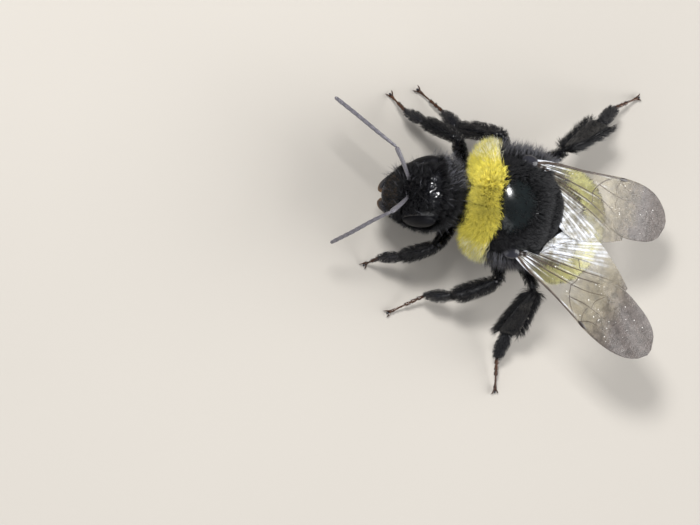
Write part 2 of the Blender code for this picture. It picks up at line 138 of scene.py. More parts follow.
FEELERS = {  # the elbow, then places along the lash to its tip
    "right": ((-7.89, 1.9, 0.14), (-9.07, 2.42, 0.3), (-10.6, 3.2, 0.16), (-12.0, 3.92, -0.15)),
    "left": ((-7.86, -1.73, 1.25), (-8.5, -2.37, 0.55), (-9.2, -3.28, -0.6), (-9.74, -4.1, -2.05)),
}
LEGS = {  # coxa's root, femur's root, knee, shin's end, end of the first foot joint, claws
    "front_left": ((-1.7, -1.2, -2.2), (-2.4, -1.5, -2.95), (-3.64, -3.09, -1.4),
        (-4.86, -4.05, -3.2), (-5.72, -4.4, -4.4), (-6.0, -4.85)),
    "front_right": ((-1.7, 1.2, -2.2), (-2.4, 1.5, -2.95), (-3.7, 3.1, -1.5),
        (-5.1, 3.6, -3.2), (-5.9, 4.0, -4.4), (-6.5, 4.7)),
    "middle_left": ((0.0, -1.1, -2.3), (0.2, -1.7, -3.05), (0.6, -4.31, -1.6),
        (-1.25, -5.65, -3.3), (-2.4, -5.98, -4.8), (-3.98, -7.26)),
    "middle_right": ((0.0, 1.1, -2.3), (0.2, 1.7, -3.05), (-1.03, 3.82, -1.5),
        (-2.69, 3.67, -3.9), (-3.4, 4.4, -5.0), (-4.9, 5.3)),
    "hind_left": ((1.2, -1.2, -2.1), (1.5, -2.0, -2.9), (2.54, -4.41, -1.0),
        (2.6, -7.15, -3.8), (2.8, -8.6, -5.0), (3.3, -10.4)),
    "hind_right": ((1.2, 1.2, -2.1), (1.5, 2.0, -2.9), (2.6, 3.63, -0.9),
        (5.32, 5.6, -2.9), (6.6, 6.6, -4.5), (8.32, 7.45)),
}
FOOT_LEVEL = 0.21  # height of the last foot joint's middle above the floor
# Bare half widths: coxa, femur, shin at the knee, shin at its end, first foot joint;
# then bare half thicknesses: shin, first foot joint.
LEG_SIZES = {
    "front": (0.4, 0.3, 0.26, 0.33, 0.34, 0.25, 0.22),
    "middle": (0.42, 0.33, 0.38, 0.46, 0.39, 0.33, 0.28),
    "hind": (0.44, 0.35, 0.2, 0.6, 0.34, 0.19, 0.14),
}

# Colours, as linear red, green and blue. Of the hair's pairs the first, darker one is at the root:
# painted shade deep in the coat.
BLACK = vec(0.0065, 0.0065, 0.0085)
DISC = vec(0.004, 0.0065, 0.007)  # the bare middle of the thorax
TAN = vec(0.055, 0.022, 0.01)  # the thin foot joints
AMBER = vec(0.13, 0.065, 0.018)  # the jaws' edges
FEELER_GREY, FEELER_JOINT = vec(0.12, 0.113, 0.129), vec(0.04, 0.038, 0.046)
VEIN_BROWN, STIGMA_BROWN = vec(0.06, 0.042, 0.032), vec(0.02, 0.012, 0.009)
HINGE_BROWN = vec(0.02, 0.013, 0.01)
WING_TONES = (0.38, (0.34, 0.29, 0.16)), (0.84, (0.115, 0.097, 0.09))  # along the film
PAINTED_GLARE = (0.8, 0.83, 0.9, 1)  # painted glare: reflected light painted on the film's creases
SPECK = vec(0.9, 0.88, 0.84)  # pale specks on the wings
SOOT = (vec(0.005, 0.005, 0.006), vec(0.016, 0.016, 0.018))
LEMON = (vec(0.45, 0.34, 0.02), vec(0.87, 0.77, 0.13))
PALE_AND_LIT_TIP, WHITE_AND_LIT_TIP = vec(0.95, 0.94, 0.66), vec(0.95, 0.95, 0.78)  # the collar's ends: paler tips, partly pale hair and partly painted highlight
# The belt's colours are paler and brighter than the collar's: painted light, with the painted sheen
# of the wing film over it.
LIT_BELT = (vec(0.95, 0.86, 0.26), vec(1.0, 0.97, 0.5))
CREAM = (vec(0.62, 0.6, 0.53), vec(0.94, 0.93, 0.88))
BROWN_TIP = vec(0.13, 0.085, 0.045)  # hairs of the lower face


# ---- shells
def rings_about(places, across, up, wide, rise, sides, square=2.0, fall=None):
    """Closed superelliptic rings in a row: wide to each side, rise above and fall below."""
    angle = 2 * np.pi * (np.arange(sides) + 0.5) / sides
    c, s = cos(angle), sin(angle)
    reach = (abs(c) ** square + abs(s) ** square) ** (-1 / square)
    sideways = outer(wide, reach * c)[..., None]
    upward = np.where(s > 0, outer(rise, reach * s),
                      outer(rise if fall is None else fall, reach * s))[..., None]
    across, up = (np.broadcast_to(way, places.shape)[:, None] for way in (across, up))
    return places[:, None] + sideways * across + upward * up


def limb(path, wide, thick, flat, sides=20, square=2.0):
    """Rings along a path, thick in the flat direction and wide across it."""
    way = unit(np.gradient(path, axis=0))
    up = square_to(flat, way)
    return rings_about(path, cross(way, up), up, wide, thick, sides, square)


def rounded(rows, fullness=2.0):
    """Shares from 0 to 1, closer at the ends, and the width there of a body with round ends."""
    t = 0.5 - 0.5 * cos(np.pi * linspace(0.012, 0.988, rows))
    return t, (1 - abs(2 * t - 1) ** fullness) ** (1 / fullness)


def egg(middle, axes, halves, rows=26, sides=32, square=2.0):
    """An ellipsoid whose poles are on its first axis."""
    t, width = rounded(rows, square)
    places = middle + outer(halves[0] * (2 * t - 1), axes[0])
    return rings_about(places, *axes[1:], halves[1] * width, halves[2] * width, sides, square)


class Spots:
    """Places on a skin, with what the coat's rules ask of them."""

    def __init__(self, root, normal):
        self.normal = normal
        self.x, self.y, self.z = np.moveaxis(root, -1, 0)
        self.collar = in_collar(root)
        self.top = clamp(normal[..., 2] * 2.2 + 0.1)
        self.side, self.forward, self.up = head_place(root)


class Shell:
    """A closed surface over a row of rings, with a colour and a gloss at each of its points."""

    def __init__(self, rings, colour=BLACK, gloss=1.0):
        self.rings = rings
        self.colour = np.broadcast_to(colour, rings.shape).reshape(-1, 3)
        self.gloss = np.broadcast_to(gloss, rings.shape[:2]).ravel()

    def faces(self, first):
        rows, sides = self.rings.shape[:2]
        here = np.arange(rows * sides).reshape(rows, sides) + first
        beside = np.roll(here, -1, axis=1)
        quads = stack((here[:-1], beside[:-1], beside[1:], here[1:]), -1).reshape(-1, 4)
        return quads.tolist() + [here[0][::-1].tolist(), here[-1].tolist()]

    def sample(self, count, weight=None):
        """Random places, as even as chance allows: point, outward normal, way along the rings
        and place on the shell's unwrap."""
        near, far = self.rings[:-1], self.rings[1:]
        near_beside, far_beside = np.roll(near, -1, 1), np.roll(far, -1, 1)
        spread = cross(far_beside - near, far - near_beside)
        middle = (near + far + near_beside + far_beside) / 4
        if np.sum((middle - middle.mean(axis=1, keepdims=True)) * spread) < 0:
            spread = -spread
        normal = unit(spread)
        share = np.linalg.norm(spread, axis=-1)
        if weight is not None:
            share = share * weight(Spots(middle, normal))
        sides = self.rings.shape[1]
        row, column = np.divmod(CHANCE.choice(share.size, count, p=share.ravel() / share.sum()),
            sides)
        s, t = CHANCE.random((2, count, 1))
        point = ((near[row, column] * (1 - s) + near_beside[row, column] * s) * (1 - t)
            + (far[row, column] * (1 - s) + far_beside[row, column] * s) * t)
        along = unit((far + far_beside - near - near_beside)[row, column])
        unwrap = stack(((column + s[:, 0]) / sides, (row + t[:, 0]) / len(near)), -1)
        return point, normal[row, column], along, unwrap


def to_frame(points):
    return (np.asarray(points, float).reshape(-1, 3) + CENTRE) * MM


def add_object(name, data):
    made = bpy.data.objects.new(name, data)
    bpy.context.collection.objects.link(made)
    return made


def add_piece(name, mesh, material, slot, *replaced):
    piece = add_object(name, mesh)
    mesh.materials.append(material)
    mesh.polygons.foreach_set("use_smooth", np.ones(len(mesh.polygons), bool))
    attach(piece, "root")
    if replaced:
        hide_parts(*replaced)


def paint(mesh, colours, gloss=1.0, name="shade"):
    """Store a colour for each vertex, and its gloss beside it."""
    flat = np.ones((len(colours), 4), np.float32)
    flat[:, :3], flat[:, 3] = colours, gloss
    layer = mesh.color_attributes.new(name, "FLOAT_COLOR", "POINT")
    layer.data.foreach_set("color", flat.ravel())


def join_shells(name, shells, look, *replaced, slot=None):
    """One piece from several shells, in place of some of the solids."""
    points, colours, gloss = map(concatenate, zip(*(
        (shell.rings.reshape(-1, 3), shell.colour, shell.gloss) for shell in shells)))
    faces, first = [], 0
    for shell in shells:
        faces += shell.faces(first)
        first += shell.gloss.size
    mesh = bpy.data.meshes.new(name)
    mesh.from_pydata(to_frame(points).tolist(), [], faces)
    work = bmesh.new()
    work.from_mesh(mesh)
    bmesh.ops.recalc_face_normals(work, faces=work.faces[:])
    work.to_mesh(mesh)
    work.free()
    paint(mesh, colours, gloss)
    add_piece(name, mesh, LOOKS[look], slot or SLOTS.get(look, look), *replaced)
    return mesh


# ---- materials
class Finish:
    """A Principled material, its constant values set on the shader's own sockets."""

    def __init__(self, name, **constants):
        self.material = bpy.data.materials.new(name)
        self.material.use_nodes = True
        self.tree = self.material.node_tree
        self.shade(**constants)

    def fill(self, node, values):
        """Give sockets their constants, or join them to the outputs that feed them."""
        for name, value in values.items():
            socket = node.inputs[name]
            if isinstance(value, bpy.types.NodeSocket):
                self.tree.links.new(value, socket)
            else:
                socket.default_value = value

    def shade(self, **values):
        self.fill(self.tree.nodes["Principled BSDF"],
                  {name.replace("_", " "): value for name, value in values.items()})

    def node(self, kind, inputs=(), output=0, **settings):
        made = self.tree.nodes.new("ShaderNode" + kind)
        for name, value in settings.items():
            setattr(made, name, value)
        self.fill(made, dict(inputs))
        return made.outputs[output]

    def attribute(self, name, output="Color"):
        return self.node("Attribute", output=output, attribute_name=name)

    def texture(self, kind, size, output, **inputs):
        """A solid texture whose features are about that many millimetres across."""
        place = self.node("TexCoord", output="Object")
        return self.node(kind, {"Vector": place, "Scale": 1 / (size * MM), **inputs}, output)

    def noise(self, size, detail=3.0):
        return self.texture("TexNoise", size, "Fac", Detail=detail)

    def remap(self, source, to_low, to_high, low=0.3, high=0.7):
        return self.node("MapRange", {"Value": source, "From Min": low, "From Max": high,
            "To Min": to_low, "To Max": to_high}, "Result")

    def math(self, operation, *values, clamped=False):
        return self.node("Math", enumerate(values), operation=operation, use_clamp=clamped)

    def mixed(self, factor, first, second, blend="MIX"):
        return self.node("Mix", {"Factor": factor, "A": first, "B": second}, "Result",
            data_type="RGBA", blend_type=blend)

    def mottled(self, colour, noise, low, high):
        """A colour made darker or lighter by a factor that varies with the noise."""
        return self.mixed(1.0, colour, self.remap(noise, low, high), "MULTIPLY")

    def bumped(self, height, depth):
        """Small relief, its height from 0 to 1 standing for that depth in millimetres."""
        self.shade(Normal=self.node("Bump", {"Height": height, "Distance": depth * MM}))


def painted(name, noise_size, low, high, detail=3.0, **constants):
    """A finish whose colour is the mesh's own, mottled by noise, and that noise."""
    made = Finish(name, **constants)
    noise = made.noise(noise_size, detail)
    made.shade(Base_Color=made.mottled(made.attribute("shade"), noise, low, high))
    return made, noise


def cuticle_material():
    made, broad = painted("cuticle", 0.9, 0.75, 1.3, IOR=1.56, Specular_IOR_Level=0.38)
    matt = made.math("MULTIPLY_ADD", made.attribute("shade", "Alpha"), -0.4, 0.4)
    made.shade(Roughness=made.math("ADD", matt, made.remap(broad, 0.13, 0.22)))
    made.bumped(made.noise(0.09), 0.0035)
    return made.material


def hair_material(name, roughness, specular):
    return painted(name, 0.25, 0.86, 1.12, Roughness=roughness, IOR=1.5,
        Specular_IOR_Level=specular)[0].material


def eye_material():
    """Black and glossy, with the fine net of facets as relief."""
    made, _ = painted("eye", 1.2, 0.6, 1.5, Roughness=0.36, IOR=1.4, Specular_IOR_Level=0.14)
    made.bumped(made.texture("TexVoronoi", 0.05, "Distance"), 0.012)
    return made.material


def feeler_material():
    """Dark horn under a close silvery down."""
    made, down = painted("feeler", 0.045, 0.7, 1.35, 2.0, IOR=1.5, Sheen_Weight=0.3,
        Sheen_Roughness=0.4)
    made.shade(Roughness=made.remap(down, 0.2, 0.3))
    made.bumped(down, 0.01)
    return made.material


def vein_material():
    made, streak = painted("vein", 0.3, 0.7, 1.4, Roughness=0.3, IOR=1.55)
    made.bumped(streak, 0.01)
    return made.material


def wing_material():
    """A clear film that turns smoky towards the outer edge, with glare painted on the creases near
    the root: a painted reflection that makes the film whiter and more opaque there.
    """
    made = Finish("wing", Roughness=0.2, IOR=1.5, Specular_IOR_Level=0.3)
    red, green = (made.node("SeparateColor", {"Color": made.attribute("reach")}, part)
        for part in ("Red", "Green"))
    reach = made.math("MULTIPLY_ADD", made.noise(1.1), 0.22, red)
    tone = made.node("ValToRGB", {"Fac": reach})
    for stop, (place, colour) in zip(tone.node.color_ramp.elements, WING_TONES):
        stop.position, stop.color = place, (*colour, 1)
    # The painted glare, read from green, whitens the film and makes it more opaque.
    glare = made.math("MULTIPLY", green, made.remap(made.noise(0.4), 0.4, 1.25), clamped=True)
    cover = made.remap(reach, 0.05, 0.74, 0.43, 0.75)
    made.shade(Base_Color=made.mixed(glare, made.mottled(tone, made.noise(0.3), 0.6, 1.4), PAINTED_GLARE),
        Alpha=made.math("MULTIPLY_ADD", glare, 0.75, cover, clamped=True))
    made.bumped(made.noise(0.14, 1.0), 0.013)
    return made.material


LOOKS = {"cuticle": cuticle_material(), "eye": eye_material(), "feeler": feeler_material(),
         "vein": vein_material(), "film": wing_material(),
         "hair_black": hair_material("hair_black", 0.42, 0.24),
         "hair_yellow": hair_material("hair_yellow", 0.5, 0.4),
         "hair_white": hair_material("hair_white", 0.5, 0.5)}
SLOTS = {"vein": "wing", "film": "wing"}  # where a slot isn't named like its look


# ---- thorax
def in_collar(points):
    """How much each point of the thorax belongs to the yellow collar, from 0 to 1."""
    x, y, z = np.moveaxis(points, -1, 0)
    swept = 0.75 * clamp((abs(y) - 1.0) / 1.3) ** 1.5 + THORAX_TURN * y * 0.6
    behind = x + 0.64 * z + 1.68 + swept + 0.05 * sin(3.1 * y + 0.5)
    return within(behind, 0.1) * within(0.05 - z + 0.25 * sin(2.3 * x), 0.2)


def thorax_shell():
    """Scutum, scutellum and flanks, with their sutures and a shoulder under each wing root."""
    t, _ = rounded(84)
    half_x, half_y, half_z = THORAX_HALF
    wide, tall = (half * (1 - abs(2 * t - 1) ** square) ** (1 / square) for half, square in
                  ((half_y, np.where(t < 0.5, 4.8, 2.15)), (half_z, np.where(t < 0.5, 2.5, 1.8))))
    rings = rings_about(outer((2 * t - 1) * half_x, X), Y, Z, wide, tall, 112, 2.1)
    x, y, z = np.moveaxis(rings, -1, 0)
    outward = unit(rings / THORAX_HALF ** 2)
    top = clamp(outward[..., 2] * 1.4)
    shoulder = sqrt((x + 0.05) ** 2 / 0.64 + (abs(y) - 2.0) ** 2 / 0.4 + (z - 1.15) ** 2 / 0.3)
    relief = (0.32 * bell(shoulder, 1)
              - 0.08 * bell(x + 0.55 - 0.5 * z, 0.1) * within(abs(z + 0.4) / 1.1, 0.2)
              + top * (0.16 * bell(hypot((x - 1.62) / 0.42, y / 1.3), 1)   # the scutellum
                       - 0.13 * bell(x - 1.12 - 0.12 * y ** 2, 0.07)
                       - 0.1 * bell(x - 2.02, 0.06)
                       - 0.035 * bell(y, 0.03) * within(abs(x + 0.9) / 0.9, 0.15)
                       - 0.03 * bell(abs(y) - 0.95, 0.03) * within(abs(x - 0.1) / 0.55, 0.2)))
    rings = rings + outward * relief[..., None]
    ahead = clamp(-x / half_x)[..., None]
    rings = rings + X * (rings[..., 2:] * THORAX_LEAN * t[:, None, None]
        - rings[..., 1:2] * THORAX_TURN * ahead)
    collar = in_collar(rings)[..., None]
    return Shell(rings, DISC * (1 - collar) + LEMON[0] * 0.5 * collar, 1 - 0.9 * collar[..., 0])


# ---- abdomen
ABDOMEN_OUTLINE = (  # share of the axis, then half the breadth, the back's rise, the belly's fall
    (0, 1.15, 1.0, 0.6), (0.1, 2.35, 2.05, 1.1), (0.3, 3.25, 2.65, 1.75), (0.5, 3.3, 2.6, 1.95),
    (0.7, 2.8, 2.1, 1.7), (0.88, 1.75, 1.3, 1.15), (0.97, 0.95, 0.75, 0.7), (1, 0.5, 0.4, 0.4))


def abdomen_rings(t, inset):
    """The abdomen's rings across its drooping axis, set in from the coat's outline."""
    first, last = ABDOMEN_SLOPES
    bend = (last - first) / ABDOMEN_AXIS_LENGTH
    slope = first + (last - first) * t
    places = ABDOMEN_START + stack(((sin(slope) - sin(first)) / bend, 0 * t,
        (cos(slope) - cos(first)) / bend), -1)
    up = stack((sin(slope), 0 * t, cos(slope)), -1)
    where, *halves = array(ABDOMEN_OUTLINE).T
    wide, back, belly = (curve(stack((where, half), -1), t) for half in halves)
    return rings_about(places, Y, up, maximum(wide - inset, 0.12), maximum(back - inset, 0.1), 112,
        2.1, maximum(belly - inset * 0.7, 0.1))


def tergites():
    """Six overlapping rings of plate; each hind edge stands a little over the next ring."""
    under = BLACK, LEMON[0] * 0.5, BLACK, CREAM[0] * 0.4, CREAM[0] * 0.4, BLACK
    share = linspace(0, 1, 18)
    shells = []
    for number, depth in enumerate(COAT_DEPTHS):
        start, end = max(ABDOMEN_CUTS[number] - 0.025, 0.0), ABDOMEN_CUTS[number + 1]
        before = COAT_DEPTHS[max(number - 1, 0)]
        inset = (depth + (before - depth) * (1 - share) ** 2 * 0.6 + 0.07 * (1 - share) ** 4
            - 0.02 * share ** 3 + np.where(share > 0.97, 0.06, 0.0))
        shells.append(Shell(abdomen_rings(start + (end - start) * share, inset), under[number]))
    return shells


def link(start, end, *radii):
    """A plain round neck or waist."""
    size = linspace(*radii, 12)
    return Shell(limb(linspace(start, end, 12), size, size, Z, 28))


# ---- head
# The head's own directions: to the bee's right, out of the face, and up to the crown.
turn = array(Matrix.Rotation(-HEAD_YAW, 3, "Z") @ Matrix.Rotation(HEAD_PITCH, 3, "Y")
    @ Matrix.Rotation(-HEAD_ROLL, 3, "X"))
RIGHT, FACE, CROWN = turn @ Y, turn @ -X, turn @ Z


def on_head(side, forward, up):
    return HEAD_PLACE + RIGHT * side + FACE * forward + CROWN * up


def head_place(points):
    """Points of the head as side, forward and up in its own directions."""
    return [(points - HEAD_PLACE) @ way for way in (RIGHT, FACE, CROWN)]


def face_depth(up):
    """How far the bare face stands out of the head's middle plane, at each height."""
    return HEAD_HALF[1] * curve(((-1, 0.55), (-0.7, 0.86), (-0.35, 0.97), (0.1, 1.0), (0.5, 0.92),
        (0.8, 0.66), (0.94, 0.36), (1, 0.06)), up / HEAD_HALF[2])


def from_socket(side, up):
    """Distance on the face from the nearer feeler's socket, 1 at its rim."""
    return hypot(abs(side) - FEELER_SIDE, up - FEELER_UP) / 0.2


def from_ocelli(side, up):
    return [hypot(side - middle, up - height) for middle, height in OCELLI]


def head_shell():
    """The head capsule: clypeus, feeler sockets, frons and a hollow beside each eye."""
    height = 2 * rounded(96)[0] - 1
    wide = HEAD_HALF[0] * curve(((-1, 0.42), (-0.93, 0.5), (-0.7, 0.66), (-0.35, 0.87), (0.1, 1.0),
                                 (0.5, 0.95), (0.8, 0.72), (0.94, 0.42), (1, 0.08)), height)
    height = height * HEAD_HALF[2]
    deep = face_depth(height)
    rings = rings_about(HEAD_PLACE + outer(height, CROWN), RIGHT, FACE, wide, deep, 120, 2.15,
        deep * HEAD_BACK)
    side, forward, up = head_place(rings)
    clypeus = hypot(side / 0.78, (up + 1.15) / 0.64)
    socket = from_socket(side, up)
    vertex = bell(hypot((side + 0.2) / 1.2, (up - 1.42) / 0.36), 1)
    relief = (0.13 * within(clypeus, 0.3) - 0.03 * bell(clypeus - 1.04, 0.07)
              + 0.07 * bell(socket - 1.15, 0.25) - 0.14 * within(socket, 0.2)
              + 0.09 * bell(hypot(side / 0.34, (up - 0.05) / 0.4), 1)
              - 0.035 * bell(side, 0.035) * within(abs(up - 0.75) / 0.45, 0.15)
              - 0.07 * bell(hypot((abs(side) - 1.2) / 0.22, up - 0.15), 1)   # beside the eyes
              + 0.012 * sin(9 * side + 2 * sin(7 * up)) * sin(11 * up + 1.5 * side)
              + vertex * (0.05 + 0.027 * sin(14 * side + 2 * sin(5 * up)))
              + sum(0.05 * bell(away / 0.24 - 1, 0.25) for away in from_ocelli(side, up)))
    front = clamp(forward * 2.5)
    return Shell(rings + FACE * (relief * front)[..., None], BLACK * 0.7,
        1 - 0.8 * within(clypeus, 0.1) * front)


def mouth_shells():
    """The labrum, and the cheeks that the jaws are hinged on."""
    cheeks = [Shell(egg(on_head(side * 0.92, 0.3, -1.72), (CROWN, RIGHT, FACE), (0.34, 0.34, 0.36)))
        for side in SIDES.values()]
    labrum = egg(on_head(0, 0.62, -2.02), (RIGHT, CROWN, FACE), (0.58, 0.24, 0.2))
    return [Shell(labrum, BLACK * 1.6), *cheeks]


def eyes():
    for word, side in SIDES.items():
        upward = unit(CROWN + RIGHT * (side * 0.16) + FACE * 0.05)
        rings = egg(on_head(side * 1.56, 0.2, 0.12), axes_of(upward, RIGHT * side + FACE * 0.35),
            EYE_HALF, 48, 56, 2.1)
        join_shells("compound_eye_" + word, [Shell(rings, BLACK * 0.6)], "eye", "eye_" + word)


def ocelli():
    """Three simple eyes on the vertex, each a glassy bead in a low rim."""
    out = unit(FACE + CROWN * 0.9)
    axes = out, RIGHT, unit(cross(out, RIGHT))
    beads = [egg(on_head(side, face_depth(up) + 0.08 - 0.08 * side ** 2, up), axes,
        (0.14, 0.17, 0.17), 14, 20) for side, up in OCELLI]
    join_shells("ocelli", [Shell(bead, BLACK * 2) for bead in beads], "cuticle", slot="eye")


def jaws():
    """Spoon-shaped jaws that close across the mouth, amber along their edges."""
    share = linspace(0, 1, 28)
    wide = curve(((0, 0.2), (0.15, 0.3), (0.5, 0.26), (0.85, 0.27), (0.97, 0.16), (1, 0.03)), share)
    thick = curve(((0, 0.16), (0.3, 0.17), (0.7, 0.12), (0.95, 0.07), (1, 0.02)), share)
    for word, side in SIDES.items():
        path = path_through([on_head(side * out, forward, up) for out, forward, up in (
            (0.9, 0.25, -1.62), (0.82, 0.42, -1.98), (0.56, 0.5, -2.3), (0.16, 0.5, -2.42))], 28)
        rings = limb(path, wide, thick, FACE, 28)
        up = (rings - path[:, None]) @ CROWN
        edge = clamp((-up / wide[:, None] - 0.35) * 1.6) * clamp(share * 2.5)[:, None]
        edge = maximum(edge, clamp((share[:, None] - 0.8) * 4))[..., None]
        shell = Shell(rings, BLACK * 1.5 * (1 - edge) + AMBER * edge)
        join_shells("jaw_" + word, [shell], "cuticle", "mandible_" + word)


def feelers():
    """A smooth scape, a bead at the elbow and a lash of ten ringed joints."""
    for word, side in SIDES.items():
        elbow, *lash = map(array, FEELERS[word])
        socket = on_head(side * FEELER_SIDE, face_depth(FEELER_UP) - 0.05, FEELER_UP)
        path = path_through((socket, (socket + elbow) / 2 + CROWN * 0.05, elbow), 30)
        size = curve(((0, 0.14), (0.05, 0.1), (0.12, 0.105), (0.6, 0.125), (0.93, 0.14),
            (0.985, 0.1), (1, 0.03)), linspace(0, 1, 30))
        scape = Shell(limb(path, size, size, Z), FEELER_GREY * 0.9)
        join_shells("scape_" + word, [scape], "feeler", "antenna_scape_" + word)
        share = linspace(0, 1, 160)
        notch = bell((share * 10.4 + 0.15) % 1 - 0.5, 0.42)
        size = curve(((0, 0.05), (0.03, 0.09), (0.12, 0.105), (0.3, 0.12), (0.95, 0.12),
            (0.985, 0.09), (1, 0.02)), share) * (0.84 + 0.16 * notch)
        rings = limb(path_through((elbow, *lash), 160), size, size, Z)
        tone = (0.45 + 0.55 * notch)[:, None, None]
        shell = Shell(rings, FEELER_JOINT * (1 - tone) + FEELER_GREY * tone)
        join_shells("lash_" + word, [shell], "feeler", "antenna_lash_" + word)


# ---- legs
TOE_CUTS = (0.0, 0.19, 0.37, 0.54, 1.0)  # where the thin foot joints part
RING = ((0, 0.04), (0.1, 0.17), (0.6, 0.21), (0.93, 0.16), (1, 0.04))  # the femur's small ring


def leg_places(place):
    """The joints of a leg, the last of them at the foot's level above the floor."""
    *joints, claws = map(array, LEGS[place])
    return *joints, np.append(claws, FLOOR + FOOT_LEVEL)


def outward(place):
    """Away from the body on a leg's side, and a little up."""
    return unit(vec(0, SIDES[place.split("_")[1]], 0.25))


def leg_shells(place):
    """One leg from the coxa to the last foot joint, as shells by name."""
    root, hip, knee, shin_end, mid, end = leg_places(place)
    coxa, femur, shin_start, shin, foot, shin_thick, foot_thick = LEG_SIZES[place.split("_")[0]]
    hind, out = place.startswith("hind"), outward(place)
    share = linspace(0, 1, 26)
    made = {}

    def add(name, start, finish, wide, thick, bow=0.0, flat=out, square=2.0, colour=BLACK,
            gloss=1.0):
        path = start + outer(share, finish - start) + outer(sin(np.pi * share) * bow, Z)
        rings = limb(path, curve(wide, share), curve(thick, share), flat, 24, square)
        made[name] = Shell(rings, colour, gloss)
        return rings, path

    add("coxa", root, hip, ((0, coxa), (0.6, coxa * 0.85), (0.95, 0.2), (1, 0.05)),
        ((0, coxa * 0.8), (0.6, coxa * 0.7), (0.95, 0.18), (1, 0.04)), flat=X)
    way = unit(knee - hip)
    add("trochanter", hip - way * 0.1, hip + way * 0.42, RING, RING)
    add("femur", hip + way * 0.3, knee,
        ((0, 0.04), (0.05, 0.17), (0.3, femur), (0.65, femur * 0.88), (0.95, 0.19), (1, 0.05)),
        ((0, 0.04), (0.05, 0.16), (0.3, 0.26), (0.65, 0.24), (0.95, 0.18), (1, 0.05)), bow=0.05)
    # The hind shin is painted darker than the other shins: painted shade over the pollen basket.
    rings, path = add(
        "tibia", knee, shin_end,
        ((0, 0.05), (0.04, shin_start), (0.35, shin_start + (shin - shin_start) * 0.5), (0.8, shin),
         (0.97, shin * 0.9), (1, shin * 0.3)),
        ((0, 0.05), (0.04, 0.17), (0.4, shin_thick), (0.85, shin_thick), (0.97, 0.15), (1, 0.05)),
        0.04, out, *((2.4, BLACK * 0.4, 0.75) if hind else (2.0, BLACK, 1.0)))
    if hind:  # the pollen basket is hollow
        offset = rings - path[:, None]
        beyond = offset @ out
        breadth = np.linalg.norm(offset - beyond[..., None] * out, axis=-1)
        hollow = (clamp(beyond / 0.2) * within(breadth / (shin * 0.62), 0.2)
            * within(abs(share - 0.65) / 0.3, 0.2)[:, None])
        rings -= out * (0.13 * hollow)[..., None]
    add("foot", shin_end, mid,
        ((0, 0.05), (0.06, foot * 0.75), (0.4, foot), (0.85, foot * 0.82), (0.98, foot * 0.6),
         (1, 0.05)),
        ((0, 0.05), (0.08, 0.11), (0.5, foot_thick), (0.9, 0.11), (1, 0.04)), colour=BLACK * 1.4)
    for number in range(4):
        start, finish = (mid + (end - mid) * TOE_CUTS[number + i] for i in (0, 1))
        spread = 0.125 - 0.008 * number
        profile = ((0, 0.03), (0.12, 0.065), (0.8, spread), (0.97, spread * 0.8), (1, 0.04))
        if number == 3:
            profile = ((0, 0.03), (0.1, 0.05), (0.55, 0.062), (0.88, 0.1), (1, 0.05))
        add("toe_%d" % number, start - (end - mid) * 0.01, finish + (end - mid) * 0.012, profile,
            array(profile) * (1, 0.85), colour=TAN)
    return made


def thorns(place):
    """The spurs at the end of a shin, and the claws and the pad of the foot."""
    pair, word = place.split("_")
    *_, knee, shin_end, mid, end = leg_places(place)
    way = unit(shin_end - knee)
    across = unit(cross(way, Z))
    inward = Y * -SIDES[word]
    shells = []

    def thorn(points, thick, colour):
        size = thick * (1.02 - linspace(0, 1, 12) ** 1.5)
        shells.append(Shell(limb(path_through(points, 12), size, size, Z, 10), colour))

    for side in {"front": (0,), "middle": (-1,), "hind": (-1, 1)}[pair]:
        base = shin_end - way * 0.12 + across * (side * LEG_SIZES[pair][3] * 0.55) + inward * 0.1
        tip = base + way * 0.5 + inward * 0.28 + across * (side * 0.1) - Z * 0.05
        thorn((base, (base + tip) / 2 + inward * 0.04, tip), 0.035, BLACK * 2.5)
    toe = unit((end - mid) * (1, 1, 0))
    splay = cross(toe, Z)
    for side in (-1, 1):
        base = end - toe * 0.03 + splay * (side * 0.05)
        bend = base + toe * 0.2 + splay * (side * 0.11)
        tip = base + toe * 0.3 + splay * (side * 0.16) - Z * (FOOT_LEVEL - 0.02)
        thorn((base, bend, tip), 0.05, TAN * 0.7)
        inner = bend - splay * (side * 0.05) - Z * 0.1
        thorn((bend, (bend + inner) / 2, inner), 0.025, TAN * 0.7)
    pad = egg(end + toe * 0.1 - Z * 0.05, (toe, splay, Z), (0.1, 0.07, 0.05), 12, 14)
    return shells + [Shell(pad, BLACK * 2)]


# ---- wings
WING_LENGTH = 9.97
FILM = 0.02  # thickness of the film
# Distance out from the root, then the front (negative) or the rear edge.
FOREWING_FRONT = ((-0.8, -0.12), (0.35, -0.38), (1.3, -0.48), (2.6, -0.56), (4.0, -0.77),
    (5.8, -1.05), (7.4, -1.1), (8.7, -0.86), (9.5, -0.42), (9.95, 0.12))
FOREWING_REAR = ((-0.8, 0.2), (0.35, 0.48), (1.3, 0.76), (2.6, 1.06), (4.0, 1.45), (5.2, 1.9),
    (6.4, 2.15), (7.6, 2.0), (8.8, 1.68), (9.55, 1.2), (9.95, 0.5))
HINDWING_OUT = (0.9, 1.2, 1.7, 2.5, 3.4, 4.6, 5.7, 6.5)
HINDWING_REAR = {  # the left one's inner lobe is spread further open
    "left": (1.5, 2.35, 3.1, 3.45, 3.45, 3.1, 2.7, 2.35),
    "right": (0.95, 1.75, 2.6, 3.15, 3.32, 3.05, 2.7, 2.35),
}
WINGS = {  # root, tip, from the front edge to the rear, how far the middle arches up, and how strong the glare painted on the front edge is
            # how bright the front edge shines
    "left": ((0.3, -2.65, 1.2), (9.35, -6.89, 0.8), (0.453, 0.891, 0.03), 0.3, 1.1),
    "right": ((0.4, 2.5, 1.2), (9.75, 1.0, -1.5), (-0.139, -0.975, 0.17), 0.95, 0.3),
}
